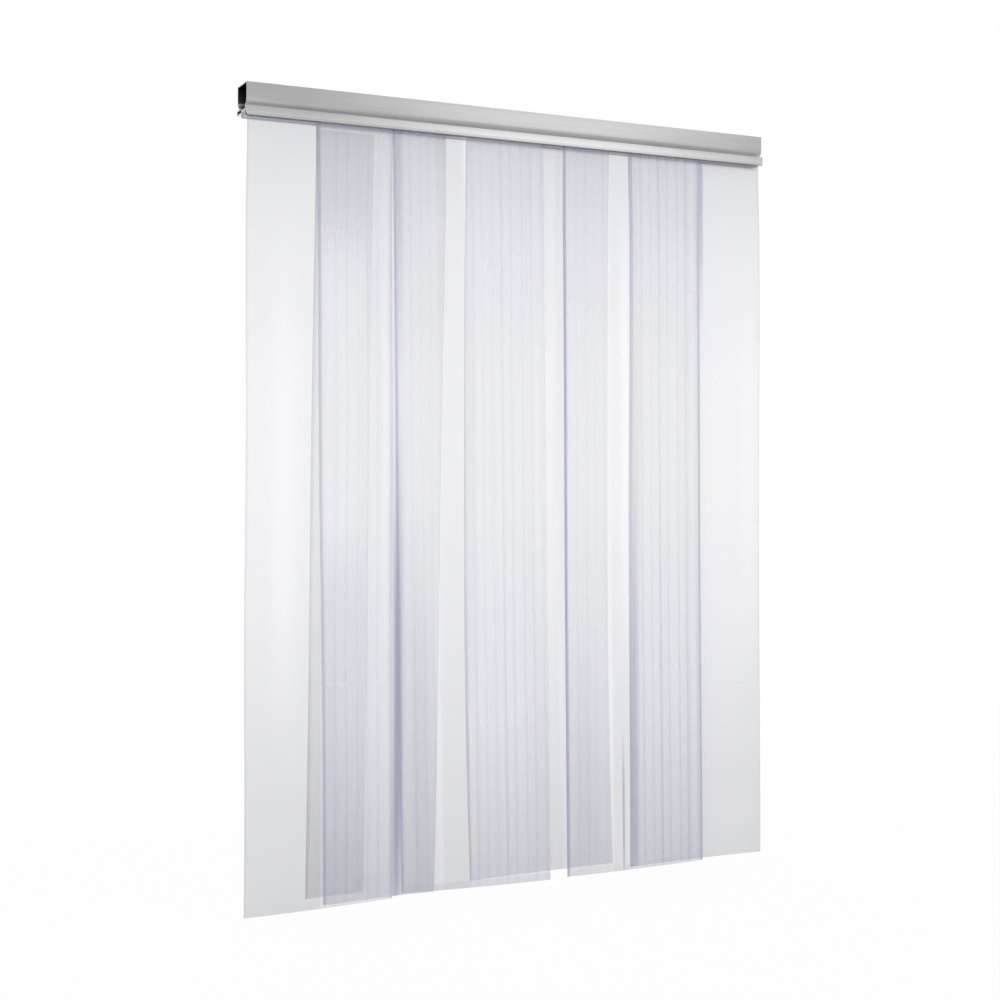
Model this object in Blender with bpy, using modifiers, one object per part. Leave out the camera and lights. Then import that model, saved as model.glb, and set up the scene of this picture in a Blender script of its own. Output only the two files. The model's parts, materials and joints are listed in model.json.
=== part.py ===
"""Clear PVC strip curtain for a doorway, hung from one extruded aluminium rail.

X runs along the rail, Y points from the front towards the wall, and Z is up. The wall is the plane
Y = 0. The origin is on the back of the middle bracket, halfway up the rail's upper box.
Lengths are in metres and angles in degrees.
"""

import math

import bmesh
import bpy

# Clearances
GAP = 0.0003
OVERRUN = 0.002

# Rail section: an upper box with rounded shoulders that narrow to a waist, and a deeper lip. The front of
# the lip holds the strips, and its back ends higher up
BOX_HEIGHT = 0.036
SHOULDER_DROP = 0.017
SHOULDER_INSET = 0.010
SHOULDER_STEPS = 8
WAIST_HEIGHT = 0.002
LIP_HEIGHT = 0.022
LIP_BACK_HEIGHT = 0.011
LIP_DEPTH = 0.083
LIP_STEP = 0.006
RAIL_WALL = 0.0025
GROOVE_ROOF = 0.006

# Grooves: two round bores in the lip, one behind the other, each with a mouth open to one side
BEAD_RADIUS = 0.0045
GROOVE_FLOOR = 0.0027
GROOVE_SIDE_WALL = 0.0024
ROW_SPACING = 0.020
SWING_DEGREES = 50
ARC_STEPS = 24

# Strips
STRIP_WIDTH = 0.400
STRIP_THICKNESS = 0.004
STRIP_DROP = 1.834
FIRST_WIDTH = 0.357
NARROW_WIDTH = 0.332
NARROW_TAPER = 0.050
LINING_WIDTH = 0.144
LINING_INSET = 0.003
LINING_START = 0.018
LINING_STANDOFF = 0.003
CORNER_STEP = 0.0012
BEAD_INSET = 0.002
SLIT_RISE = 0.0005
FRONT_CURL = 0.006
BACK_CURL = -0.006
CURL_START_SHARE = 0.12
COLUMNS = 10
ROWS = 14

# Places along the rail, which is as long as its front row needs
END_INSET = 0.004
ABUT_SPACE = 0.001
FRONT_SPACE = 0.057
FRONT_TAIL = 0.191
BACK_OVERHANG = 0.009
BACK_SPACE_RIGHT = 0.057
BACK_SPACE_LEFT = 0.054

# How far each strip's lower end drifts sideways, hangs short, and is cut out of level. The fourth one
# also bows sideways halfway down
FIRST_LEAN, FIRST_SHORT, FIRST_TILT = -0.007, -0.002, 0.005
SECOND_LEAN, SECOND_SHORT, SECOND_TILT = -0.008, 0.000, 0.001
LINING_LEAN, LINING_SHORT, LINING_TILT = -0.027, 0.024, 0.001
THIRD_LEAN, THIRD_SHORT, THIRD_TILT = 0.022, -0.001, -0.007
FOURTH_LEAN, FOURTH_SHORT, FOURTH_TILT = 0.008, 0.016, 0.001
FOURTH_BOW = -0.012
FIFTH_LEAN, FIFTH_SHORT, FIFTH_TILT = 0.014, 0.000, 0.001
SIXTH_LEAN, SIXTH_SHORT, SIXTH_TILT = 0.003, 0.001, -0.001

# End plugs and their grub screws
PLUG_LENGTH = 0.012
PLUG_FLAT = 0.0036
SCREW_RADIUS = 0.0016
SCREW_BITE = 0.004
SOCKET_RADIUS = 0.0009
SOCKET_DEPTH = 0.0018
PLUG_PLACES = ("front_left", "back_left", "front_right", "back_right")

# Wall brackets, which the rail's box snaps into from the front
BRACKET_WIDTH = 0.050
BRACKET_HOOK = 0.014
BRACKET_HOOK_THICKNESS = 0.0025
BRACKET_SPACING_SHARE = 0.425
SCREW_HOLE_RADIUS = 0.0025
SCREW_HOLE_SINK_RADIUS = 0.0048
SCREW_HOLE_SPACING = 0.030
ROUND_SIDES = 24

# Values that follow from the sizes above
RAIL_LENGTH = (
    END_INSET + FIRST_WIDTH + ABUT_SPACE + STRIP_WIDTH + FRONT_SPACE + STRIP_WIDTH + FRONT_TAIL
)
RAIL_END = RAIL_LENGTH / 2
RAIL_TOP_Z = BOX_HEIGHT / 2
SHOULDER_Z = RAIL_TOP_Z - BOX_HEIGHT
WAIST_Z = SHOULDER_Z - SHOULDER_DROP
LIP_TOP_Z = WAIST_Z - WAIST_HEIGHT
LIP_BOTTOM_Z = LIP_TOP_Z - LIP_HEIGHT
LIP_BACK_Z = LIP_TOP_Z - LIP_BACK_HEIGHT
BOX_FRONT_Y = LIP_STEP - LIP_DEPTH
BOX_BACK_Y = -LIP_STEP
BORE_RADIUS = BEAD_RADIUS + GAP
SLOT_HALF = STRIP_THICKNESS / 2 + GAP
AXIS_Z = LIP_BOTTOM_Z + GROOVE_FLOOR + BORE_RADIUS
AXIS_RISE = AXIS_Z - LIP_BOTTOM_Z
SWING = math.radians(SWING_DEGREES)
MOUTH_REACH = AXIS_RISE * math.tan(SWING) + SLOT_HALF / math.cos(SWING)
FRONT_AXIS_Y = -LIP_DEPTH + GROOVE_SIDE_WALL + MOUTH_REACH
BACK_AXIS_Y = FRONT_AXIS_Y + ROW_SPACING
BLOCK_BACK_Y = BACK_AXIS_Y + MOUTH_REACH + GROOVE_SIDE_WALL
TAB_DEPTH = BEAD_RADIUS + CORNER_STEP
GROOVE_END = RAIL_END - PLUG_LENGTH - GAP


def clear_scene():
    for obj in list(bpy.data.objects):
        bpy.data.objects.remove(obj, do_unlink=True)


def new_collection(name, hidden=False):
    collection = bpy.data.collections.new(name)
    collection.hide_render = hidden
    bpy.context.scene.collection.children.link(collection)
    return collection


def new_material(name, color, roughness, metallic=0.0, alpha=1.0):
    material = bpy.data.materials.new(name)
    material.use_nodes = True
    shader = material.node_tree.nodes["Principled BSDF"]
    shader.inputs["Base Color"].default_value = (*color, 1.0)
    shader.inputs["Roughness"].default_value = roughness
    shader.inputs["Metallic"].default_value = metallic
    shader.inputs["Alpha"].default_value = alpha
    return material


def add_object(name, data, collection, material=None, location=(0, 0, 0)):
    obj = bpy.data.objects.new(name, data)
    collection.objects.link(obj)
    obj.location = location
    if material:
        data.materials.append(material)
    return obj


def extrusion(name, outlines, length, collection, material, location):
    """A bar along X whose section is the outlines, given as Y and Z from the bar's location."""
    curve = bpy.data.curves.new(name, "CURVE")
    curve.dimensions = "2D"
    curve.fill_mode = "BOTH"
    curve.extrude = length / 2
    for outline in outlines:
        spline = curve.splines.new("POLY")
        spline.points.add(len(outline) - 1)
        spline.use_cyclic_u = True
        for point, (y, z) in zip(spline.points, outline):
            point.co = (y, z, 0, 1)
    obj = add_object(name, curve, collection, material, location)
    obj.rotation_euler = (math.pi / 2, 0, math.pi / 2)
    return obj


def solid_mesh(obj, merge_distance):
    """Turns an extruded curve into a welded mesh object, so that it can be cut."""
    bpy.context.view_layer.update()
    evaluated = obj.evaluated_get(bpy.context.evaluated_depsgraph_get())
    mesh = bpy.data.meshes.new_from_object(evaluated)
    bm = bmesh.new()
    bm.from_mesh(mesh)
    bmesh.ops.remove_doubles(bm, verts=bm.verts, dist=merge_distance)
    bm.to_mesh(mesh)
    bm.free()
    name = obj.name
    collection = obj.users_collection[0]
    matrix = obj.matrix_world.copy()
    bpy.data.objects.remove(obj, do_unlink=True)
    solid = add_object(name, mesh, collection)
    solid.matrix_world = matrix
    return solid


def cylinder(name, radius, low, high, axis, place, collection, material=None, top_radius=None,
             sides=ROUND_SIDES):
    """A cylinder or cone along one world axis, from low to high, centred on place across it."""
    bm = bmesh.new()
    bmesh.ops.create_cone(
        bm, cap_ends=True, segments=sides, radius1=radius,
        radius2=radius if top_radius is None else top_radius, depth=high - low,
    )
    mesh = bpy.data.meshes.new(name)
    bm.to_mesh(mesh)
    bm.free()
    mesh.shade_smooth()
    mesh.set_sharp_from_angle(angle=math.radians(SWING_DEGREES))
    obj = add_object(name, mesh, collection, material)
    middle = (low + high) / 2
    if axis == "X":
        obj.rotation_euler = (0, math.pi / 2, 0)
        obj.location = (middle, *place)
    elif axis == "Y":
        obj.rotation_euler = (-math.pi / 2, 0, 0)
        obj.location = (place[0], middle, place[1])
    else:
        obj.location = (*place, middle)
    return obj


def cut(obj, cutters):
    for cutter in cutters:
        cutter.display_type = "WIRE"
        cutter.hide_render = True
        boolean = obj.modifiers.new(cutter.name, "BOOLEAN")
        boolean.operation = "DIFFERENCE"
        boolean.solver = "EXACT"
        boolean.object = cutter


def arc(centre, radius, start, end, steps=ARC_STEPS):
    """Points from start to end, in radians counted from straight down, towards +Y."""
    angles = [start + (end - start) * i / steps for i in range(steps + 1)]
    return [(centre[0] + radius * math.sin(a), centre[1] - radius * math.cos(a)) for a in angles]


def groove_outline(axis_y, side):
    """One groove from its mouth's inner corner round the bore to its outer corner.

    side is -1 for a mouth that opens to the front and 1 for one that opens to the back.
    """
    slot_angle = math.asin(SLOT_HALF / BORE_RADIUS)
    inner = (axis_y - side * SLOT_HALF, LIP_BOTTOM_Z)
    outer = (axis_y + side * MOUTH_REACH, LIP_BOTTOM_Z)
    bore = arc(
        (axis_y, AXIS_Z), BORE_RADIUS, -side * slot_angle,
        -side * (2 * math.pi - SWING - slot_angle),
    )
    return [inner, *bore, outer]


def shoulder(side, offset):
    """The rounded shoulder from the box's face down to the waist, offset outwards.

    side is -1 for the front shoulder and 1 for the back one. The curve starts level with the
    box's lower end and stops where it meets the waist's upright, offset alike.
    """
    face_y = BOX_FRONT_Y if side < 0 else BOX_BACK_Y
    radius = (SHOULDER_DROP ** 2 + SHOULDER_INSET ** 2) / (2 * SHOULDER_INSET)
    turn = math.acos((radius - SHOULDER_INSET + offset) / (radius + offset))
    quarter = side * math.pi / 2
    centre = (face_y - side * radius, SHOULDER_Z)
    return arc(centre, radius + offset, quarter, quarter - side * turn, SHOULDER_STEPS)


def rail_outline():
    groove_front = groove_outline(FRONT_AXIS_Y, -1)
    groove_back = groove_outline(BACK_AXIS_Y, 1)
    return [
        (BOX_FRONT_Y, RAIL_TOP_Z),
        *shoulder(-1, 0),
        (BOX_FRONT_Y + SHOULDER_INSET, LIP_TOP_Z),
        (-LIP_DEPTH, LIP_TOP_Z),
        (-LIP_DEPTH, LIP_BOTTOM_Z),
        *reversed(groove_front),
        *groove_back,
        (BLOCK_BACK_Y, LIP_BOTTOM_Z),
        (BLOCK_BACK_Y, LIP_BACK_Z),
        (0, LIP_BACK_Z),
        (0, LIP_TOP_Z),
        (BOX_BACK_Y - SHOULDER_INSET, LIP_TOP_Z),
        *reversed(shoulder(1, 0)),
        (BOX_BACK_Y, RAIL_TOP_Z),
    ]


def rail_hollow_outline():
    ceiling = RAIL_TOP_Z - RAIL_WALL
    well_back = BLOCK_BACK_Y - RAIL_WALL
    well_floor = AXIS_Z + BORE_RADIUS + GROOVE_ROOF
    shelf = LIP_TOP_Z - GAP
    return [
        (BOX_FRONT_Y + RAIL_WALL, ceiling),
        *shoulder(-1, -RAIL_WALL),
        (BOX_FRONT_Y + SHOULDER_INSET + RAIL_WALL, well_floor),
        (well_back, well_floor),
        (well_back, shelf),
        (BOX_BACK_Y - SHOULDER_INSET - RAIL_WALL, shelf),
        *reversed(shoulder(1, -RAIL_WALL)),
        (BOX_BACK_Y - RAIL_WALL, ceiling),
    ]


def rail_pocket_outline():
    low, high = LIP_BACK_Z + RAIL_WALL, LIP_TOP_Z - RAIL_WALL
    return [(BLOCK_BACK_Y, low), (-RAIL_WALL, low), (-RAIL_WALL, high), (BLOCK_BACK_Y, high)]


def plug_centres():
    middle = RAIL_END - PLUG_LENGTH / 2
    return [(x, y) for x in (-middle, middle) for y in (FRONT_AXIS_Y, BACK_AXIS_Y)]


def header_rail(parts, cutters, material):
    outlines = [rail_outline(), rail_hollow_outline(), rail_pocket_outline()]
    rail = extrusion("header_rail", outlines, RAIL_LENGTH, parts, material, (0, 0, 0))
    rail = solid_mesh(rail, GAP / ROUND_SIDES)
    top = AXIS_Z + BORE_RADIUS + SCREW_BITE + GAP
    cut(rail, [
        cylinder(f"cut_rail_screw_{i}", SCREW_RADIUS + GAP, AXIS_Z, top, "Z", place, cutters)
        for i, place in enumerate(plug_centres(), 1)
    ])


def end_plugs(parts, cutters, material):
    flat_angle = math.acos(PLUG_FLAT / BEAD_RADIUS)
    outline = arc((0, 0), BEAD_RADIUS, flat_angle, 2 * math.pi - flat_angle)
    low, high = AXIS_Z - BEAD_RADIUS - OVERRUN, AXIS_Z + BEAD_RADIUS + OVERRUN
    for name, place in zip(PLUG_PLACES, plug_centres()):
        plug = extrusion(f"plug_{name}", [outline], PLUG_LENGTH, parts, material, (*place, AXIS_Z))
        plug = solid_mesh(plug, GAP / ROUND_SIDES)
        cut(plug, [cylinder(f"cut_plug_{name}", SCREW_RADIUS + GAP, low, high, "Z", place, cutters)])


def plug_screws(parts, cutters, material):
    """Grub screws with hex sockets, each up through a plug into the roof of its groove."""
    low = AXIS_Z - PLUG_FLAT
    high = AXIS_Z + BORE_RADIUS + SCREW_BITE
    for name, place in zip(PLUG_PLACES, plug_centres()):
        screw = cylinder(f"screw_{name}", SCREW_RADIUS, low, high, "Z", place, parts, material)
        cut(screw, [cylinder(
            f"cut_socket_{name}", SOCKET_RADIUS, low - OVERRUN, low + SOCKET_DEPTH, "Z", place,
            cutters, sides=6,
        )])


def bracket_outline():
    """The bracket's section: a hook over the box, a web behind it and a claw under its shoulder."""
    web = BOX_BACK_Y + GAP
    hook_low = RAIL_TOP_Z + GAP
    claw_low = LIP_TOP_Z + GAP
    return [
        (0, hook_low + BRACKET_HOOK_THICKNESS),
        (BOX_BACK_Y - BRACKET_HOOK, hook_low + BRACKET_HOOK_THICKNESS),
        (BOX_BACK_Y - BRACKET_HOOK, hook_low),
        (web, hook_low),
        *shoulder(1, GAP),
        (web - SHOULDER_INSET, claw_low),
        (0, claw_low),
    ]


def wall_brackets(parts, cutters, material):
    names = ("wall_bracket_left", "wall_bracket_middle", "wall_bracket_right")
    for name, step in zip(names, (-1, 0, 1)):
        x = step * BRACKET_SPACING_SHARE * RAIL_LENGTH
        bracket = extrusion(name, [bracket_outline()], BRACKET_WIDTH, parts, material, (x, 0, 0))
        bracket = solid_mesh(bracket, GAP / ROUND_SIDES)
        holes = []
        for side in (-1, 1):
            place = (x + side * SCREW_HOLE_SPACING / 2, 0)
            label = f"{name}_{'left' if side < 0 else 'right'}"
            sink = SCREW_HOLE_SINK_RADIUS - SCREW_HOLE_RADIUS
            holes.append(cylinder(
                f"cut_hole_{label}", SCREW_HOLE_RADIUS, BOX_BACK_Y - OVERRUN, OVERRUN, "Y", place,
                cutters,
            ))
            holes.append(cylinder(
                f"cut_sink_{label}", SCREW_HOLE_SINK_RADIUS + OVERRUN,
                BOX_BACK_Y + GAP - OVERRUN, BOX_BACK_Y + GAP + sink, "Y", place, cutters,
                top_radius=SCREW_HOLE_RADIUS - GAP,
            ))
        cut(bracket, holes)


def strip_layout():
    """Each hanging sheet: its body, row, left edge, width, taper, lean, bow, shortfall and tilt."""
    first_left = -RAIL_END + END_INSET
    third_left = first_left + FIRST_WIDTH + ABUT_SPACE
    fifth_left = third_left + STRIP_WIDTH + FRONT_SPACE
    sixth_left = RAIL_END + BACK_OVERHANG - STRIP_WIDTH
    fourth_left = sixth_left - BACK_SPACE_RIGHT - STRIP_WIDTH
    second_left = fourth_left - BACK_SPACE_LEFT - NARROW_WIDTH
    return [
        ("1", "front", first_left, FIRST_WIDTH, 0, FIRST_LEAN, 0, FIRST_SHORT, FIRST_TILT),
        ("2", "back", second_left, NARROW_WIDTH, NARROW_TAPER, SECOND_LEAN, 0, SECOND_SHORT,
         SECOND_TILT),
        ("3", "front", third_left, STRIP_WIDTH, 0, THIRD_LEAN, 0, THIRD_SHORT, THIRD_TILT),
        ("4", "back", fourth_left, STRIP_WIDTH, 0, FOURTH_LEAN, FOURTH_BOW, FOURTH_SHORT,
         FOURTH_TILT),
        ("5", "front", fifth_left, STRIP_WIDTH, 0, FIFTH_LEAN, 0, FIFTH_SHORT, FIFTH_TILT),
        ("6", "back", sixth_left, STRIP_WIDTH, 0, SIXTH_LEAN, 0, SIXTH_SHORT, SIXTH_TILT),
    ]


def bead_ends(left, width):
    """Where a strip's bead starts and stops, clear of the plugs at the rail's ends."""
    return max(left + BEAD_INSET, -GROOVE_END), min(left + width - BEAD_INSET, GROOVE_END)


def smooth_ramp(share):
    share = min(max(share, 0), 1)
    return share * share * (3 - 2 * share)


def hanging_sheet(name, parts, material, place, top, depths, width, taper, drift, tilt, curl, tab):
    """A strip as a bowed sheet. depths are its rows below the bead's axis, and tab its first rows' ends.

    place is the axis point at the middle of the strip's top edge. top is how far the sheet stands
    behind the axis at its first row and further down. drift is its lean and its sideways bow.
    """
    lean, bow = drift
    bm = bmesh.new()
    bmesh.ops.create_grid(bm, x_segments=COLUMNS, y_segments=len(depths) - 1, size=1)
    drop = depths[-1]
    for vert in bm.verts:
        across = vert.co.x
        row = round((1 - vert.co.y) / 2 * (len(depths) - 1))
        depth = depths[row]
        share = max(depth, 0) / drop
        ramp = smooth_ramp(share / CURL_START_SHARE)
        half = (width - taper * share) / 2
        x = lean * share + 4 * bow * share * (1 - share) + across * half
        if depth <= TAB_DEPTH and tab:
            x = tab[0] + (tab[1] - tab[0]) * (across + 1) / 2
        y = top[0] + (top[1] - top[0]) * ramp + curl * ramp * (across * across - 1 / 3)
        z = -depth + tilt * across / 2 * share
        vert.co = (x, y, z)
    mesh = bpy.data.meshes.new(name)
    bm.to_mesh(mesh)
    bm.free()
    mesh.shade_smooth()
    obj = add_object(name, mesh, parts, material, place)
    solidify = obj.modifiers.new("thickness", "SOLIDIFY")
    solidify.thickness = STRIP_THICKNESS
    solidify.offset = 0
    return obj


def sheet_depths(start, corner, drop):
    """Row depths below the axis: the tab inside the bead, the clipped corner, then even steps."""
    first = [start, TAB_DEPTH, TAB_DEPTH + CORNER_STEP / 2] if corner else [start]
    rest = drop - first[-1]
    return first + [first[-1] + rest * i / ROWS for i in range(1, ROWS + 1)]


def bead_outline():
    """The round bead with the slit from below that the strip's top edge is welded into."""
    slit = math.asin(SLOT_HALF / BEAD_RADIUS)
    outer = arc((0, 0), BEAD_RADIUS, slit, 2 * math.pi - slit)
    return [*outer, (-SLOT_HALF, SLIT_RISE), (SLOT_HALF, SLIT_RISE)]


def strips(parts, sheet_material, bead_material):
    for label, row, left, width, taper, lean, bow, short, tilt in strip_layout():
        axis_y = FRONT_AXIS_Y if row == "front" else BACK_AXIS_Y
        curl = FRONT_CURL if row == "front" else BACK_CURL
        middle = left + width / 2
        start, stop = bead_ends(left, width)
        extrusion(
            f"bead_{label}", [bead_outline()], stop - start, parts, bead_material,
            ((start + stop) / 2, axis_y, AXIS_Z),
        )
        depths = sheet_depths(GAP - SLIT_RISE, True, STRIP_DROP - short)
        hanging_sheet(
            f"strip_{label}", parts, sheet_material, (middle, axis_y, AXIS_Z), (0, 0), depths,
            width, taper, (lean, bow), tilt, curl, (start - middle, stop - middle),
        )


def strip_lining(parts, material):
    """The narrow strip welded behind the second one's left side, below the rail."""
    left = strip_layout()[1][2] + LINING_INSET
    middle = left + LINING_WIDTH / 2
    stand = STRIP_THICKNESS + GAP
    hanging_sheet(
        "strip_2_lining", parts, material, (middle, BACK_AXIS_Y, AXIS_Z),
        (stand, stand + LINING_STANDOFF), sheet_depths(LINING_START, False, STRIP_DROP - LINING_SHORT),
        LINING_WIDTH, 0, (LINING_LEAN, 0), LINING_TILT, 0, None,
    )


def spacer_rods(parts, material):
    """Nylon rods that fill the grooves between the beads and keep the strips in place."""
    count = 0
    for row, axis_y in (("front", FRONT_AXIS_Y), ("back", BACK_AXIS_Y)):
        ends = [bead_ends(s[2], s[3]) for s in strip_layout() if s[1] == row]
        starts = [-GROOVE_END, *(stop + GAP for _, stop in ends)]
        stops = [*(start - GAP for start, _ in ends), GROOVE_END]
        for low, high in zip(starts, stops):
            if high - low > PLUG_LENGTH:
                count += 1
                cylinder(
                    f"spacer_rod_{count}", BEAD_RADIUS, low, high, "X", (axis_y, AXIS_Z), parts,
                    material,
                )


def build():
    clear_scene()
    parts = new_collection("pvc_door_curtain")
    cutters = new_collection("cutters", hidden=True)
    aluminium = new_material("anodised_aluminium", (0.62, 0.63, 0.64), 0.38, metallic=1.0)
    clear_pvc = new_material("clear_pvc", (0.80, 0.83, 0.88), 0.12, alpha=0.35)
    bead_pvc = new_material("bead_pvc", (0.78, 0.80, 0.84), 0.30)
    nylon = new_material("nylon", (0.06, 0.06, 0.065), 0.45)
    steel = new_material("zinc_steel", (0.55, 0.55, 0.56), 0.30, metallic=1.0)
    header_rail(parts, cutters, aluminium)
    wall_brackets(parts, cutters, aluminium)
    end_plugs(parts, cutters, nylon)
    plug_screws(parts, cutters, steel)
    strips(parts, clear_pvc, bead_pvc)
    strip_lining(parts, clear_pvc)
    spacer_rods(parts, nylon)


build()
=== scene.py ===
"""Looks of the clear PVC door curtain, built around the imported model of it.

X runs along the rail, -Y faces the viewer and Z is up, in metres. The wall is the plane Y = 0.
"""

import json
import math

import bpy
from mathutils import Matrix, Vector


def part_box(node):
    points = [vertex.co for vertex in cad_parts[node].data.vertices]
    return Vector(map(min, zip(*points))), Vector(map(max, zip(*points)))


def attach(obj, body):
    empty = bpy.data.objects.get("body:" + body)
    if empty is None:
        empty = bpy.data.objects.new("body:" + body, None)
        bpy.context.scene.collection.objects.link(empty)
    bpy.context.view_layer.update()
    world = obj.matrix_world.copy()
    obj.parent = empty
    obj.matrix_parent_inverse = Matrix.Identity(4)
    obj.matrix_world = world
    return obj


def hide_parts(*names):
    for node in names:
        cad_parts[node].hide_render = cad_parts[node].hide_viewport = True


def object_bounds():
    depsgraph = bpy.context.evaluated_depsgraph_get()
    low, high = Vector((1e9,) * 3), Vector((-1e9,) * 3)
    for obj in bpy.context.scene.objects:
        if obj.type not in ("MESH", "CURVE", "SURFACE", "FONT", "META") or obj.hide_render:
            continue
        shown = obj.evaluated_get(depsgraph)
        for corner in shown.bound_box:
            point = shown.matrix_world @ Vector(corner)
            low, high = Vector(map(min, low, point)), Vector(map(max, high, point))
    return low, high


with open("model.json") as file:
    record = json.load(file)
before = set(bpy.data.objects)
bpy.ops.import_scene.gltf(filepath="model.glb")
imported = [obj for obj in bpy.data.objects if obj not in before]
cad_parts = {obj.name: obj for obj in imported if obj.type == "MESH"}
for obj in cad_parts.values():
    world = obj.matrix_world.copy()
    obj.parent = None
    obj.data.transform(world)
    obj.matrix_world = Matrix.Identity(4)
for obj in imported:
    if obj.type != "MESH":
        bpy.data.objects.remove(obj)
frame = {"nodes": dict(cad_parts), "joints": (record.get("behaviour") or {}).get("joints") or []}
cad_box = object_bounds()
nodes = frame["nodes"]
hinges = {joint["name"]: Vector(joint["pos_m"]) for joint in frame["joints"]}


# The camera stands to the left of the curtain and a little below its middle, level, with its
# picture shifted down, as in the photograph. It looks 26 degrees to the right of square on.
CAMERA_PLACE = (-1.7753, -3.6184, -0.874)
CAMERA_AHEAD = (0.4348, 0.9005, 0.0)
CAMERA_LENS = 57.85
CAMERA_SHIFT_DOWN = 0.027

camera_data = bpy.data.cameras.new("camera")
camera_data.lens = CAMERA_LENS
camera_data.shift_y = -CAMERA_SHIFT_DOWN
camera = bpy.data.objects.new("camera", camera_data)
camera.location = CAMERA_PLACE
camera.rotation_euler = Vector(CAMERA_AHEAD).to_track_quat("-Z", "Y").to_euler()
bpy.context.scene.collection.objects.link(camera)
bpy.context.scene.camera = camera


# The header rail is one aluminium extrusion, sawn to length and anodised. Its upper box snaps over
# the wall brackets, and its deeper lip holds two round grooves that the strips slide into.
RAIL_EDGE_ROUND = 0.0004
WELD_DISTANCE = 0.00002
FLAT_ANGLE = math.radians(1)
BROKEN_EDGE_ANGLE = math.radians(35)
SMOOTH_ANGLE = math.radians(30)
RAIL_BOTTOM_Z, RAIL_TOP_Z = [corner.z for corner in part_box("header_rail")]
RAIL_ROUGHNESS = 0.38
CLOUD_ROUGHNESS = 0.12
CLOUD_STRETCH = (6, 40, 40)
DIE_LINE_STRETCH = (1.5, 900, 900)
DIE_LINE_RELIEF = 0.00002
DIE_LINE_SHARE = 0.6
WEAR_SPAN = (0.25, 0.75)
GRIME_SHARE = 0.16
GRIME_BLACK = (0, 0, 0, 1)
# Greys by height, painted light and shade: a darker underside, a paler middle to the lip, a bright line
# where the lip meets the shoulder, a paler lower shoulder and a bright top edge.
RAIL_PAINTED_GREYS = (
    (-0.0590, 0.44),
    (-0.0575, 0.47),
    (-0.0510, 0.55),
    (-0.0375, 0.47),
    (-0.0365, 0.85),
    (-0.0320, 0.60),
    (-0.0270, 0.45),
    (-0.0180, 0.43),
    (0.0165, 0.45),
    (0.0180, 0.60),
)
# The walls inside the rail's box are painted near black, as painted shade.
RAIL_SHADED_HOLLOW = ((-0.0750, -0.0200), (-0.0080, 0.0160))
HOLLOW_SHADE_GREY = (0.04, 0.04, 0.04, 1)
HOLLOW_SOFT = 0.0003


class Reading:
    """A number or colour that changes over a surface. Arithmetic on it adds Math nodes."""

    def __init__(self, finish, socket):
        self.finish = finish
        self.socket = socket

    def maths(self, operation, *values):
        inputs = dict(enumerate(values))
        return self.finish.node("ShaderNodeMath", {"operation": operation}, inputs)

    def __add__(self, other):
        return self.maths("ADD", self, other)

    def __radd__(self, other):
        return self.maths("ADD", other, self)

    def __sub__(self, other):
        return self.maths("SUBTRACT", self, other)

    def __rsub__(self, other):
        return self.maths("SUBTRACT", other, self)

    def __mul__(self, other):
        return self.maths("MULTIPLY", self, other)

    def __rmul__(self, other):
        return self.maths("MULTIPLY", other, self)

    def __pow__(self, other):
        return self.maths("POWER", self, other)

    def highest(self, other):
        return self.maths("MAXIMUM", self, other)


class Finish:
    """A procedural finish. node() adds one node, with its settings first and then its sockets."""

    def __init__(self, name, constants):
        self.material = bpy.data.materials.new(name)
        self.material.use_nodes = True
        self.tree = self.material.node_tree
        self.shader = self.tree.nodes["Principled BSDF"]
        for socket, value in constants.items():
            self.shader.inputs[socket].default_value = value

    def node(self, kind, settings=None, inputs=None, output=0):
        node = self.tree.nodes.new(kind)
        for key, value in (settings or {}).items():
            if key == "stops":
                ramp = node.color_ramp.elements
                while len(ramp) < len(value):
                    ramp.new(1)
                for stop, (position, color) in zip(ramp, value):
                    stop.position = position
                    stop.color = color
            else:
                setattr(node, key, value)
        for key, value in (inputs or {}).items():
            self.feed(node.inputs[key], value)
        return Reading(self, node.outputs[output])

    def feed(self, socket, value):
        if isinstance(value, Reading):
            self.tree.links.new(value.socket, socket)
        else:
            socket.default_value = value

    def coat(self, **readings):
        """Feeds the shader's sockets. base_color stands for Base Color, and so on."""
        for key, value in readings.items():
            self.feed(self.shader.inputs[key.replace("_", " ").title()], value)
        return self.material

    def place(self):
        """The point on the object, and its X, Y and Z."""
        point = self.node("ShaderNodeTexCoord", output="Object")
        axes = [self.node("ShaderNodeSeparateXYZ", None, {0: point}, i) for i in range(3)]
        return point, *axes

    def stretched(self, point, scale):
        return self.node("ShaderNodeVectorMath", {"operation": "MULTIPLY"}, {0: point, 1: scale})

    def noise(self, point, scale=1.0, detail=2.0):
        return self.node(
            "ShaderNodeTexNoise", None, {"Vector": point, "Scale": scale, "Detail": detail}
        )

    def noise_1d(self, value, scale):
        return self.node(
            "ShaderNodeTexNoise", {"noise_dimensions": "1D"}, {"W": value, "Scale": scale}
        )

    def ramp(self, value, *stops):
        return self.node("ShaderNodeValToRGB", {"stops": stops}, {0: value})

    def rise(self, value, low, high):
        """0 below low, 1 above high and a smooth rise between them."""
        return self.node(
            "ShaderNodeMapRange", {"interpolation_type": "SMOOTHSTEP"},
            {"Value": value, "From Min": low, "From Max": high},
        )

    def between(self, value, low, high, soft):
        """1 between low and high and 0 outside them, with a smooth change soft wide at each end."""
        return self.rise(value, low, low + soft) * (1 - self.rise(value, high - soft, high))

    def blend(self, share, first, second):
        """first where share is 0 and second where it is 1, as colours."""
        return self.node(
            "ShaderNodeMix", {"data_type": "RGBA"}, {0: share, 6: first, 7: second}, 2
        )

    def relief(self, height, distance):
        return self.node("ShaderNodeBump", None, {"Height": height, "Distance": distance})


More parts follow.
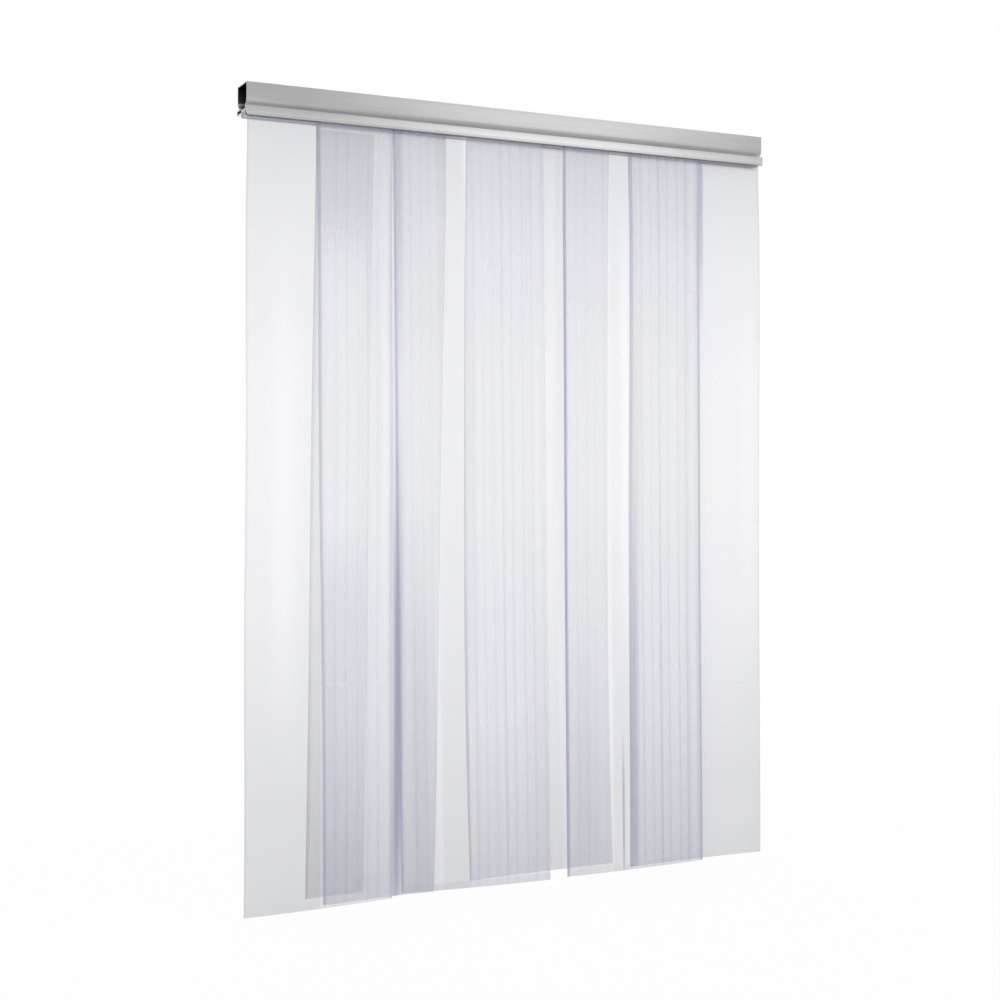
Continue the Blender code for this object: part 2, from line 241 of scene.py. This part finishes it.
def aluminium_finish(name, roughness, greys, shaded_hollow=None):
    """Aluminium with the fine lines that the extrusion die leaves along X. greys are heights, from
    the rail's bottom to its top, with the grey painted there; on the rail they paint its highlights
    and shade band by band. The last argument, when given, is the low and the high corner, in Y and
    Z, of a space whose walls get a near-black painted shade.
    """
    metal = Finish(name, {"Metallic": 1.0})
    point, _, depth, height = metal.place()
    lines = metal.noise(metal.stretched(point, DIE_LINE_STRETCH), detail=3)
    clouds = metal.noise(metal.stretched(point, CLOUD_STRETCH))
    rail_height = RAIL_TOP_Z - RAIL_BOTTOM_Z
    stops = [((z - RAIL_BOTTOM_Z) / rail_height, (grey, grey, grey, 1)) for z, grey in greys]
    tone = metal.ramp((height - RAIL_BOTTOM_Z) * (1 / rail_height), *stops)
    # Painted shade: the walls inside the given space are turned near black.
    if shaded_hollow:
        (front, bottom), (back, top) = shaded_hollow
        inside = metal.between(depth, front, back, HOLLOW_SOFT)
        inside = inside * metal.between(height, bottom, top, HOLLOW_SOFT)
        tone = metal.blend(inside, tone, HOLLOW_SHADE_GREY)
    wear = DIE_LINE_SHARE * lines + (1 - DIE_LINE_SHARE) * clouds
    grime = GRIME_SHARE * (1 - metal.rise(wear, *WEAR_SPAN))
    return metal.coat(
        base_color=metal.blend(grime, tone, GRIME_BLACK),
        roughness=roughness - CLOUD_ROUGHNESS / 2 + CLOUD_ROUGHNESS * clouds,
        normal=metal.relief(lines, DIE_LINE_RELIEF),
    )


def select_only(piece):
    bpy.ops.object.select_all(action="DESELECT")
    piece.select_set(True)
    bpy.context.view_layer.objects.active = piece


def rounded_copy(node, edge_round):
    """A welded copy of a CAD node whose sharp edges are broken, as a deburred part's are."""
    name = f"{node.name}_dressed"
    piece = bpy.data.objects.new(name, node.data.copy())
    piece.data.materials.clear()
    bpy.context.scene.collection.objects.link(piece)
    select_only(piece)
    bpy.ops.object.mode_set(mode="EDIT")
    bpy.ops.mesh.select_all(action="SELECT")
    bpy.ops.mesh.remove_doubles(threshold=WELD_DISTANCE)
    bpy.ops.mesh.dissolve_limited(angle_limit=FLAT_ANGLE)
    bpy.ops.object.mode_set(mode="OBJECT")
    bevel = piece.modifiers.new("broken edges", "BEVEL")
    bevel.width = edge_round
    bevel.segments = 2
    bevel.limit_method = "ANGLE"
    bevel.angle_limit = BROKEN_EDGE_ANGLE
    bevel.use_clamp_overlap = True
    bpy.ops.object.modifier_apply(modifier=bevel.name)
    bpy.ops.object.shade_smooth_by_angle(angle=SMOOTH_ANGLE)
    return piece


rail = rounded_copy(nodes["header_rail"], RAIL_EDGE_ROUND)
rail.data.materials.append(
    aluminium_finish("anodised_aluminium", RAIL_ROUGHNESS, RAIL_PAINTED_GREYS, RAIL_SHADED_HOLLOW)
)
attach(rail, "root")
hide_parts("header_rail")


# Three wall brackets, sawn from a second extrusion in mill finish. Each is screwed to the wall
# through two countersunk holes, and hooks over the rail's box and under its shoulder.
BRACKET_EDGE_ROUND = 0.0003
BRACKET_ROUGHNESS = 0.42
BRACKET_GREY = 0.54
BRACKET_GREYS = ((RAIL_BOTTOM_Z, BRACKET_GREY), (RAIL_TOP_Z, BRACKET_GREY))

bracket_finish = aluminium_finish("mill_aluminium", BRACKET_ROUGHNESS, BRACKET_GREYS)
for side in ("left", "middle", "right"):
    bracket = rounded_copy(nodes[f"wall_bracket_{side}"], BRACKET_EDGE_ROUND)
    bracket.data.materials.append(bracket_finish)
    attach(bracket, "root")
    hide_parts(f"wall_bracket_{side}")


# Turned black nylon: four plugs close the grooves at the rail's ends, and rods between the beads keep
# the strips at their places. The surface is matt, with faint rings from the lathe.
NYLON_WORN = (0.075, 0.075, 0.08, 1)
NYLON_BLACK = (0.04, 0.04, 0.043, 1)
NYLON_DEPTH_GLOW = 0.05
NYLON_ROUGHNESS = 0.40
MOTTLE_ROUGHNESS = 0.15
MOTTLE_SCALE = 160
RING_STRETCH = (2200, 0, 0)
RING_RELIEF = 0.00003
USUAL_NOISE = (0.3, 0.7)


def coat_nodes(prefixes, material):
    """Gives the material to the CAD nodes whose names start with one of the prefixes."""
    for name, node in nodes.items():
        if name.startswith(prefixes):
            node.data.materials.clear()
            node.data.materials.append(material)


nylon = Finish("nylon", {"Subsurface Weight": NYLON_DEPTH_GLOW})
point, _, _, _ = nylon.place()
mottle = nylon.noise(point, MOTTLE_SCALE, 3)
rings = nylon.noise(nylon.stretched(point, RING_STRETCH), detail=1)
nylon.coat(
    base_color=nylon.blend(nylon.rise(mottle, *USUAL_NOISE), NYLON_BLACK, NYLON_WORN),
    roughness=NYLON_ROUGHNESS + MOTTLE_ROUGHNESS * mottle,
    normal=nylon.relief(rings, RING_RELIEF),
)
coat_nodes(("plug_", "spacer_rod_"), nylon.material)


# Grub screws with hex sockets, in zinc-plated steel. They go up through the plugs and bite into
# the roof of the groove. Zinc shows as a fine patchy crystal pattern.
ZINC_BRIGHT = (0.62, 0.63, 0.66, 1)
ZINC_DULL = (0.40, 0.41, 0.44, 1)
ZINC_ROUGHNESS = 0.24
CRYSTAL_ROUGHNESS = 0.2
CRYSTAL_SCALE = 1500
CRYSTAL_SPAN = (0.35, 0.65)

zinc = Finish("zinc_steel", {"Metallic": 1.0})
point, _, _, _ = zinc.place()
crystals = zinc.noise(point, CRYSTAL_SCALE, 2)
zinc.coat(
    base_color=zinc.blend(zinc.rise(crystals, *CRYSTAL_SPAN), ZINC_DULL, ZINC_BRIGHT),
    roughness=ZINC_ROUGHNESS + CRYSTAL_ROUGHNESS * crystals,
)
coat_nodes("screw_", zinc.material)


# Each strip's top edge is welded into a slit rod of clear PVC, the bead that slides along the
# groove. The rod is thick, so it looks bluer and hazier than the sheet.
BEAD_PALE = (0.66, 0.69, 0.76, 1)
BEAD_BLUE = (0.48, 0.52, 0.62, 1)
BEAD_COAT = 0.3
BEAD_ROUGHNESS = 0.18
DRAW_LINE_ROUGHNESS = 0.12
DRAW_LINE_STRETCH = (2, 500, 500)
PVC_IOR = 1.54

bead_pvc = Finish("bead_pvc", {"Coat Weight": BEAD_COAT, "IOR": PVC_IOR})
point, _, _, _ = bead_pvc.place()
draw_lines = bead_pvc.noise(bead_pvc.stretched(point, DRAW_LINE_STRETCH), detail=2)
bead_pvc.coat(
    base_color=bead_pvc.blend(bead_pvc.rise(draw_lines, *USUAL_NOISE), BEAD_BLUE, BEAD_PALE),
    roughness=BEAD_ROUGHNESS + DRAW_LINE_ROUGHNESS * draw_lines,
)
coat_nodes("bead_", bead_pvc.material)


# Strip 1 hangs in front at the left end. Like the others it is a length of clear PVC sheet, 4 mm
# thick, extruded flat and knife-cut, so it is milky from the side and bluish in its cut edges.
SHEET_THICKNESS = 0.004
TAB_DEPTH = 0.0057
TAB_STEP = 0.0006
TAB_RISE = 0.0002
CURL_START_SHARE = 0.12
SHEET_COLUMNS = 32
SHEET_ROWS = 96
CUT_ROUND = 0.0005
FRONT_CURL = 0.006
BACK_CURL = -0.006
RIM_ANGLE = math.radians(60)
SHEET_SMOOTH_ANGLE = math.radians(40)
FACE_OPACITY = 0.29
# The sheet's tone down its length is painted light and shade: palest a little above the middle and
# darker towards both ends.
FILM_LIGHT_AND_SHADE_TONES = (
    (0.00, (0.40, 0.41, 0.45, 1)),
    (0.05, (0.51, 0.52, 0.55, 1)),
    (0.16, (0.655, 0.66, 0.69, 1)),
    (0.33, (0.775, 0.78, 0.81, 1)),
    (0.48, (0.785, 0.79, 0.82, 1)),
    (0.62, (0.72, 0.725, 0.76, 1)),
    (0.78, (0.58, 0.585, 0.62, 1)),
    (0.90, (0.48, 0.485, 0.52, 1)),
    (1.00, (0.41, 0.415, 0.445, 1)),
)
# Paler, bluer tones where a sheet lies over a neighbour: painted light that offsets the shadow the
# front sheet casts on the one behind, with the same painted light and shade down its length.
LAP_LIGHT_AND_SHADE_TONES = (
    (0.00, (0.60, 0.61, 0.66, 1)),
    (0.05, (0.67, 0.68, 0.73, 1)),
    (0.16, (0.78, 0.79, 0.84, 1)),
    (0.33, (0.85, 0.855, 0.89, 1)),
    (0.48, (0.87, 0.875, 0.91, 1)),
    (0.62, (0.84, 0.85, 0.89, 1)),
    (0.78, (0.80, 0.81, 0.86, 1)),
    (0.90, (0.70, 0.71, 0.77, 1)),
    (1.00, (0.60, 0.61, 0.67, 1)),
)
# Tone of the upright bands of painted light.
PAINTED_LIGHT_TONE = (0.98, 0.98, 1.0, 1)
# Tone of the upright bands of painted shade.
PAINTED_SHADE_TONE = (0.30, 0.31, 0.38, 1)
# Tone of the painted streaks of shade along the die's lines where sheets overlap.
LINE_SHADE_TONE = (0.14, 0.17, 0.30, 1)
# Dark blue of the cut sides and foot, also painting the shade just under the rail and the darker bands.
EDGE_AND_SHADE_TONE = (0.32, 0.34, 0.49, 1)
EDGE_OPACITY = 0.52
EDGE_CORE_SHARE = 0.25
# Rows just below the rail that carry a painted shade.
UNDER_RAIL_SHARES = (0.0225, 0.0275)
LAP_SOFT = 0.006
BAND_FADE_SHARE = 0.4
LINE_SPACING = 0.027
LINE_WANDER = 0.20
LINE_CORE_SHARE = 0.03
LINE_HALF_SHARE = 0.23
LINE_RELIEF = 0.000004
LINE_STRENGTH = 0.40
LINE_BASE = 0.55
LINE_TOP_GROWTH = 0.35
LINE_TOP_SPAN = (0.08, 0.24)
LINE_FOOT_GROWTH = 0.65
LINE_FOOT_SPAN = (0.40, 0.95)
LINE_CHANGE_SCALE = 30
LINE_CHANGE_SPAN = (0.35, 0.65)
LINE_WEAKEST = 0.6
LINE_CHANGE = 0.8
RIPPLE_SCALE = 70
RIPPLE_SPAN = (0.5, 0.8)
RIPPLE_STRENGTH = 0.5
GRAZING_BLEND = 0.35
GRAZING_OPACITY = 0.5
FILM_ROUGHNESS = 0.26
HAZE_ROUGHNESS = 0.10
HAZE_STRETCH = (3, 9, 0)


def patch(film, across, down, middle, half, top, bottom, soft=1.0):
    """An upright band on a sheet, from 0 outside it to 1 in its middle. soft is 1 for sides that
    fade all the way to the middle, and less for sharper ones.
    """
    beside = film.between(across, middle - half, middle + half, half * soft)
    below = film.between(down, top, bottom, (bottom - top) * BAND_FADE_SHARE * soft)
    return beside * below


def lap_shares(film, across, laps):
    """How strongly the sheet takes the paler painted light of an overlap, and the painted shade along
    the die's lines, at each place.
    """
    painted_lap_light = 0 * across
    line_shade = 0 * across
    for start, stop, strength, line_strength in laps:
        inside = film.between(across, start - LAP_SOFT, stop + LAP_SOFT, 2 * LAP_SOFT)
        painted_lap_light = painted_lap_light + inside * strength
        line_shade = line_shade + inside * line_strength
    return painted_lap_light, line_shade


def die_line_relief_and_shade(film, metres, down, line_start, seed):
    """The fine straight lines that the extrusion die leaves, as relief, and how strongly each one is
    painted as a streak of shade. Some are stronger than others, and all are stronger at the top and
    towards the lower end.
    """
    cells = film.node(
        "ShaderNodeTexVoronoi", {"voronoi_dimensions": "1D"},
        {"W": metres + line_start, "Scale": 1 / LINE_SPACING, "Randomness": LINE_WANDER},
    )
    streak = 1 - film.rise(cells, LINE_CORE_SHARE, LINE_HALF_SHARE)
    change = film.noise_1d(metres + seed, LINE_CHANGE_SCALE)
    ripple = film.noise_1d(metres + seed, RIPPLE_SCALE)
    shown = streak * (LINE_WEAKEST + LINE_CHANGE * film.rise(change, *LINE_CHANGE_SPAN))
    shown = shown + RIPPLE_STRENGTH * film.rise(ripple, *RIPPLE_SPAN)
    growth = LINE_BASE + LINE_TOP_GROWTH * (1 - film.rise(down, *LINE_TOP_SPAN))
    growth = growth + LINE_FOOT_GROWTH * film.rise(down, *LINE_FOOT_SPAN)
    return streak, shown * growth


def edge_and_shade_share(film, metres, down, width, left_edge, right_edge, under_rail, foot):
    """How far the sheet has the dark tone of its cut sides and foot, and of the painted shade under the
    rail.
    """
    left_width, left_strength = left_edge
    right_width, right_strength = right_edge
    foot_top, foot_end, foot_strength = foot
    at_left = 1 - film.rise(metres, EDGE_CORE_SHARE * left_width, left_width)
    at_right = film.rise(metres, width - right_width, width - EDGE_CORE_SHARE * right_width)
    edge_and_shade = (at_left * left_strength).highest(at_right * right_strength)
    edge_and_shade = edge_and_shade.highest((1 - film.rise(down, *UNDER_RAIL_SHARES)) * under_rail)
    return edge_and_shade.highest(film.rise(down, foot_top, foot_end) * foot_strength)


def film_finish(
    name, seed, width, laps, line_start=0.0, glows=(), shades=(), folds=(),
    left_edge=(0.010, 1.0), right_edge=(0.006, 0.1), under_rail=0.5, foot=(0.95, 1.0, 0.05),
):
    """Clear sheet. Places on it are shares of its width from the left, and of its rows from the
    top. Its tone down the sheet is painted light and shade, palest a little above the middle and
    darker towards both ends. laps are the stretches of its width that lie over a neighbour: start,
    stop, how strongly they take a paler painted light, and how strong the painted shade along the
    die's lines is there. line_start moves the lines sideways. The three lists of bands after it are
    upright bands of painted light, of painted shade, and of darker, more opaque sheet: middle, half
    width, top, bottom, soft if it isn't 1, and strength. left_edge and right_edge each have a width
    in metres and a strength. under_rail is how strong the painted shade just below the rail is,
    and foot is where its lower end starts and stops darkening, and how much.
    """
    film = Finish(name, {"IOR": PVC_IOR})
    cut = film.node("ShaderNodeUVMap", {"uv_map": "cut"})
    across = film.node("ShaderNodeSeparateXYZ", None, {0: cut}, 0)
    down = 1 - film.node("ShaderNodeSeparateXYZ", None, {0: cut}, 1)
    metres = across * width
    painted_lap_light, line_shade = lap_shares(film, across, laps)
    # Painted light and shade down the sheet, with paler painted light where it lies over a neighbour.
    tone = film.blend(painted_lap_light, film.ramp(down, *FILM_LIGHT_AND_SHADE_TONES), film.ramp(down, *LAP_LIGHT_AND_SHADE_TONES))
    # Upright bands of painted light, then of painted shade.
    for bands, band_tone in ((glows, PAINTED_LIGHT_TONE), (shades, PAINTED_SHADE_TONE)):
        for *band, strength in bands:
            tone = film.blend(patch(film, across, down, *band) * strength, tone, band_tone)
    streak, shown = die_line_relief_and_shade(film, metres, down, line_start, seed)
    # Streaks of painted shade along the die's lines.
    tone = film.blend(shown * line_shade * LINE_STRENGTH, tone, LINE_SHADE_TONE)
    # Dark tone of the cut sides and foot, with the painted shade under the rail.
    edge_and_shade = edge_and_shade_share(film, metres, down, width, left_edge, right_edge, under_rail, foot)
    # Darker, more opaque upright bands.
    for *band, strength in folds:
        edge_and_shade = edge_and_shade.highest(patch(film, across, down, *band) * strength)
    opacity = FACE_OPACITY + edge_and_shade * (EDGE_OPACITY - FACE_OPACITY)
    grazing = film.node("ShaderNodeLayerWeight", None, {"Blend": GRAZING_BLEND}, "Facing")
    opacity = opacity + (1 - opacity) * GRAZING_OPACITY * grazing**4
    haze = film.noise(film.stretched(cut, HAZE_STRETCH))
    return film.coat(
        base_color=film.blend(edge_and_shade, tone, EDGE_AND_SHADE_TONE),
        roughness=FILM_ROUGHNESS + HAZE_ROUGHNESS * haze,
        alpha=opacity,
        normal=film.relief(streak, LINE_RELIEF),
    )


KNIFE_DARK = (0.40, 0.43, 0.54, 1)
KNIFE_PALE = (0.52, 0.55, 0.66, 1)
KNIFE_STRETCH = (300, 300, 60)
RIM_ROUGHNESS = 0.25
KNIFE_ROUGHNESS = 0.3
RIM_OPACITY = 0.22
KNIFE_OPACITY = 0.20

rim = Finish("pvc_cut_edge", {"IOR": PVC_IOR})
point, _, _, _ = rim.place()
knife = rim.noise(rim.stretched(point, KNIFE_STRETCH), detail=3)
rim.coat(
    base_color=rim.blend(rim.rise(knife, *USUAL_NOISE), KNIFE_DARK, KNIFE_PALE),
    roughness=RIM_ROUGHNESS + KNIFE_ROUGHNESS * knife,
    alpha=RIM_OPACITY + KNIFE_OPACITY * knife,
)


def smooth_ramp(share):
    share = min(max(share, 0), 1)
    return share * share * (3 - 2 * share)


def hung_sheet(name, top, depths, width, taper, drift, tilt, curl, stand, tab, sway):
    """A sheet hanging from top, the middle of its upper edge, with its rows at depths below it.

    It is taper narrower at its lower end, and curls across its width. drift is how far its lower
    end and then its middle stand sideways, and its lower end is cut out of level by tilt. stand is
    how far it is from top in Y, at its upper edge and then lower down. tab is the low and high X of
    the stretch that is held in the bead. sway is a slow wave of its edges: size, waves down the
    strip, and phase.
    """
    bpy.ops.object.select_all(action="DESELECT")
    bpy.ops.mesh.primitive_grid_add(
        x_subdivisions=SHEET_COLUMNS, y_subdivisions=len(depths) - 1, size=2, calc_uvs=True,
    )
    piece = bpy.context.object
    piece.name = piece.data.name = name
    piece.data.uv_layers[0].name = "cut"
    sway_size, sway_waves, sway_phase = sway
    lean, bow = drift
    for vert in piece.data.vertices:
        across = vert.co.x
        depth = depths[round((1 - vert.co.y) / 2 * (len(depths) - 1))]
        share = max(depth, 0) / depths[-1]
        ramp = smooth_ramp(share / CURL_START_SHARE)
        wave = sway_size * ramp * math.sin(math.tau * (sway_waves * share + sway_phase))
        sideways = lean * share + 4 * bow * share * (1 - share) + wave
        x = top.x + sideways + across * (width - taper * share) / 2
        if tab and depth <= TAB_DEPTH:
            x = tab[0] + (tab[1] - tab[0]) * (across + 1) / 2
        y = top.y + stand[0] + (stand[1] - stand[0]) * ramp
        y += curl * ramp * (across * across - 1 / 3)
        z = top.z - depth + tilt * across / 2 * share
        vert.co = (x, y, z)
    piece.data.materials.append(None)
    piece.data.materials.append(rim.material)
    select_only(piece)
    solidify = piece.modifiers.new("thickness", "SOLIDIFY")
    solidify.thickness = SHEET_THICKNESS
    solidify.offset = 0
    solidify.material_offset_rim = 1
    bevel = piece.modifiers.new("broken edges", "BEVEL")
    bevel.width = CUT_ROUND
    bevel.segments = 2
    bevel.limit_method = "ANGLE"
    bevel.angle_limit = RIM_ANGLE
    bpy.ops.object.modifier_apply(modifier=solidify.name)
    bpy.ops.object.modifier_apply(modifier=bevel.name)
    bpy.ops.object.shade_smooth_by_angle(angle=SHEET_SMOOTH_ANGLE)
    return piece


def hung_strip(number, width, lean, tilt, curl, sway, taper=0.0, bow=0.0, trim=0.0, **look):
    """One whole strip on its bead. Its hinge gives its top, and its CAD node its lower end, which
    is cut shorter by trim. look is handed on to its finish.
    """
    node = f"strip_{number}"
    top = hinges[f"{node}_swing"]
    bead_low, bead_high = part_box(f"bead_{number}")
    drop = top.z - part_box(node)[0].z - abs(tilt) / 2 - trim
    first = [-TAB_RISE, TAB_DEPTH, TAB_DEPTH + TAB_STEP]
    rest = drop - first[-1]
    depths = first + [first[-1] + rest * i / SHEET_ROWS for i in range(1, SHEET_ROWS + 1)]
    piece = hung_sheet(
        f"{node}_sheet", top, depths, width, taper, (lean, bow), tilt, curl, (0, 0),
        (bead_low.x, bead_high.x), sway,
    )
    piece.data.materials[0] = film_finish(f"clear_pvc_{number}", number, width, **look)
    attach(piece, f"hanging_{number}")
    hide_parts(node)


# Its finish paints pale bands of light down it, a shade along its top, and paler light where it lies
# over strip 2.
hung_strip(
    1, width=0.357, taper=-0.006, lean=-0.0045, tilt=0.005, curl=FRONT_CURL,
    sway=(0.0012, 2, 0.45), laps=[(0.50, 1.0, 0.85, 0.32)], line_start=0.0045,
    glows=[(0.25, 0.14, 0.10, 0.85, 0.40), (0.95, 0.04, 0.05, 0.75, 0.55),
           (0.66, 0.22, 0.12, 0.61, 0.5, 0.75)],
    shades=[(0.25, 0.30, -0.08, 0.10, 0.25)], left_edge=(0.006, 0.3), right_edge=(0.008, 0.4),
)


# Strip 2 hangs behind strips 1 and 3, by a bead in the back groove. It is the same clear sheet, but
# it was trimmed to 332 mm at the top and tapers towards its lower end.
# Its finish paints a pale band of light high on its right, a shade low on its left, and a darker, more
# opaque band in its lower part, between strips 1 and 3.
hung_strip(
    2, width=0.332, taper=0.050, lean=-0.008, tilt=0.001, curl=BACK_CURL,
    sway=(0.001, 1.5, 0.1), laps=[(0.0, 1.0, 0.85, 0.10)],
    glows=[(0.93, 0.2, 0.02, 0.25, 0.25)],
    shades=[(0.06, 0.12, 0.55, 1.2, 0.25)],
    folds=[(0.655, 0.075, 0.30, 1.25, 1.2)], left_edge=(0.012, 1.3),
)


# A narrow offcut is welded on behind the left side of strip 2, from just below the rail. It is
# shorter, and its lower end drifts to the left, so both its edges show through the front strip.
LINING_WIDTH = 0.144
LINING_LEAN = -0.027
LINING_TILT = 0.001
LINING_START = 0.018
LINING_SPARE = 0.007
LINING_STAND = (0.0043, 0.0073)

lining_low, lining_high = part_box("strip_2_lining")
strip_2_top = hinges["strip_2_swing"]
lining_top = Vector((lining_high.x - LINING_WIDTH / 2, strip_2_top.y, strip_2_top.z))
lining_drop = strip_2_top.z - lining_low.z - LINING_TILT / 2 + LINING_SPARE
lining_length = lining_drop - LINING_START
lining = hung_sheet(
    "strip_2_lining_sheet", lining_top,
    [LINING_START + lining_length * i / SHEET_ROWS for i in range(SHEET_ROWS + 1)],
    LINING_WIDTH, 0.0, (LINING_LEAN, 0.0), LINING_TILT, 0.0, LINING_STAND, None,
    (0.001, 1.2, 0.3),
)
# Its finish paints a broad band of light over it, and no shade under the rail.
lining.data.materials[0] = film_finish(
    "clear_pvc_lining", 2.5, LINING_WIDTH, laps=[(0.0, 1.0, 0.9, 0.10)],
    glows=[(0.5, 1.0, 0.06, 1.1, 0.7)], left_edge=(0.010, 0.6), under_rail=0.0,
)
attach(lining, "hanging_2")
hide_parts("strip_2_lining")


# Strip 3 hangs in front, its left edge against strip 1. It is clear sheet in its full trade width,
# leans a little to the right, and its lower end was cut out of level.
# Its finish paints a pale band of light near its right side and bands of shade, the darkest down the
# upper part of its left side.
hung_strip(
    3, width=0.400, lean=0.022, tilt=-0.0105, trim=0.0025, curl=FRONT_CURL,
    sway=(0.001, 1.0, 0.2), laps=[(0.0, 0.27, 0.6, 0.36), (0.45, 1.0, 0.95, 0.56)],
    line_start=0.018, glows=[(0.935, 0.025, 0.15, 0.7, 0.4)],
    shades=[(0.03, 0.045, -0.7, 0.40, 1.0), (0.13, 0.15, 0.45, 1.3, 0.35),
            (0.36, 0.14, 0.10, 0.9, 0.15)],
    left_edge=(0.010, 0.8), right_edge=(0.006, 0.0), foot=(0.989, 0.993, 0.25),
)


# Strip 4 hangs behind strips 3 and 5. It bows to the left halfway down, and ends 16 mm higher than
# its neighbours.
# Its finish paints a pale band of light right of its middle and a shade beside its left side.
hung_strip(
    4, width=0.400, lean=0.008, bow=-0.012, tilt=0.001, curl=BACK_CURL, sway=(0.001, 1.4, 0.7),
    laps=[(0.0, 0.49, 1.0, 0.10), (0.65, 1.0, 0.8, 0.10)],
    glows=[(0.57, 0.10, 0.0, 1.0, 0.30)], shades=[(0.03, 0.06, 0.0, 1.0, 0.35)],
    left_edge=(0.010, 0.55),
)


# Strip 5 is the last of the three that hang in front, full-width clear sheet like strip 3. Both of
# its cut edges stand out as thick blue lines, and a short, darker and more opaque line is painted
# near its lower end.
# Its finish paints pale bands of light, one of them at its foot, and a shade low on its left.
hung_strip(
    5, width=0.400, lean=0.014, tilt=0.001, curl=FRONT_CURL, sway=(0.0008, 1.2, 0.0),
    laps=[(0.0, 0.33, 0.8, 0.33), (0.48, 1.0, 0.85, 0.80)], line_start=0.0235,
    glows=[(0.43, 0.06, 0.02, 0.8, 0.6), (0.74, 0.3, 0.05, 0.7, 0.12), (0.43, 0.2, 0.8, 1.5, 0.25)],
    shades=[(0.12, 0.2, 0.6, 1.3, 0.25)], folds=[(0.402, 0.010, 0.80, 1.05, 1.5)],
    left_edge=(0.011, 1.1), right_edge=(0.009, 0.85), foot=(0.989, 0.993, 0.12),
)


# Strip 6 hangs behind at the right end, by the last bead in the back groove. It is full-width clear
# sheet, and reaches 9 mm past the rail.
# Its finish paints pale bands of light, one of them at its foot, a shade beside its left side, and
# darker, more opaque bands low by its left side and high behind strip 5's right side.
hung_strip(
    6, width=0.400, lean=0.003, tilt=-0.001, curl=BACK_CURL, sway=(0.0016, 1.3, 0.02),
    laps=[(0.0, 0.53, 0.85, 0.10)],
    glows=[(0.75, 0.25, 0.0, 1.0, 0.15), (0.92, 0.10, 0.08, 0.8, 0.30), (0.75, 0.3, 0.8, 1.5, 0.1)],
    shades=[(0.06, 0.05, 0.0, 1.0, 0.35)],
    folds=[(0.035, 0.05, 0.35, 1.3, 0.8), (0.548, 0.028, -0.3, 0.3, 1.0)],
    left_edge=(0.014, 1.1), right_edge=(0.004, 0.1),
)


# A white studio floor, 10 mm below the strips, that keeps the curtain's faint shadow. Two broad
# soft lamps stand in front and one behind, and the sky is white to the camera and in reflections.
FLOOR_CLEARANCE = 0.010
FLOOR_SIZE = 60
FLOOR_WHITE = (0.92, 0.92, 0.92, 1)
FLOOR_ROUGHNESS = 0.9
FLOOR_SHADOW_SHARE = 0.06
FLOOR_SHADOW_FADE = (0.8, 4.0)
WHITE = (1, 1, 1, 1)
WHITE_LEVEL = 1.0
SKY_LIGHT = 0.72
CLEAR_LAYERS = 32
LAMPS = (
    ("soft_box_right", (1.95, -3.3, 0.8), 3.0, 28.5),
    ("soft_box_left", (-3.0, -3.2, -1.0), 2.4, 46),
    ("soft_box_back", (0.6, 3.0, 0.4), 2.6, 26),
)

bpy.ops.object.select_all(action="DESELECT")
bpy.ops.mesh.primitive_plane_add(
    size=FLOOR_SIZE, location=(0, 0, cad_box[0].z - FLOOR_CLEARANCE)
)
floor = bpy.context.object
floor.name = "floor"
studio = Finish("studio_white", {"Base Color": FLOOR_WHITE, "Roughness": FLOOR_ROUGHNESS})
point, _, _, _ = studio.place()
away = studio.node("ShaderNodeVectorMath", {"operation": "LENGTH"}, {0: point}, 1)
shadow_share = FLOOR_SHADOW_SHARE * (1 - studio.rise(away, *FLOOR_SHADOW_FADE))
ray = [studio.node("ShaderNodeLightPath", output=f"Is {kind} Ray") for kind in
       ("Camera", "Glossy", "Transmission")]
glowing = studio.node("ShaderNodeEmission", None, {"Color": WHITE, "Strength": WHITE_LEVEL})
mixed = studio.node(
    "ShaderNodeMixShader", None,
    {0: (ray[0] + ray[1] + ray[2]) * (1 - shadow_share),
     1: Reading(studio, studio.shader.outputs[0]), 2: glowing},
)
studio.feed(studio.tree.nodes["Material Output"].inputs["Surface"], mixed)
floor.data.materials.append(studio.material)

world = bpy.data.worlds.new("studio")
world.use_nodes = True
bpy.context.scene.world = world
sky = world.node_tree.nodes["Background"]
sky.inputs["Color"].default_value = WHITE
links = world.node_tree.links
path = world.node_tree.nodes.new("ShaderNodeLightPath")
seen = path.outputs["Is Camera Ray"]
for kind in ("Glossy", "Transmission"):
    either = world.node_tree.nodes.new("ShaderNodeMath")
    either.operation = "MAXIMUM"
    links.new(seen, either.inputs[0])
    links.new(path.outputs[f"Is {kind} Ray"], either.inputs[1])
    seen = either.outputs[0]
level = world.node_tree.nodes.new("ShaderNodeMapRange")
links.new(seen, level.inputs["Value"])
level.inputs["To Min"].default_value = SKY_LIGHT
level.inputs["To Max"].default_value = WHITE_LEVEL
links.new(level.outputs[0], sky.inputs["Strength"])

middle = (cad_box[0] + cad_box[1]) / 2
for name, place, size, power in LAMPS:
    lamp_data = bpy.data.lights.new(name, "AREA")
    lamp_data.shape = "SQUARE"
    lamp_data.size = size
    lamp_data.energy = power
    lamp = bpy.data.objects.new(name, lamp_data)
    lamp.location = place
    lamp.rotation_euler = (middle - Vector(place)).to_track_quat("-Z", "Y").to_euler()
    bpy.context.scene.collection.objects.link(lamp)

bpy.context.scene.view_settings.view_transform = "Standard"
bpy.context.scene.cycles.transparent_max_bounces = CLEAR_LAYERS
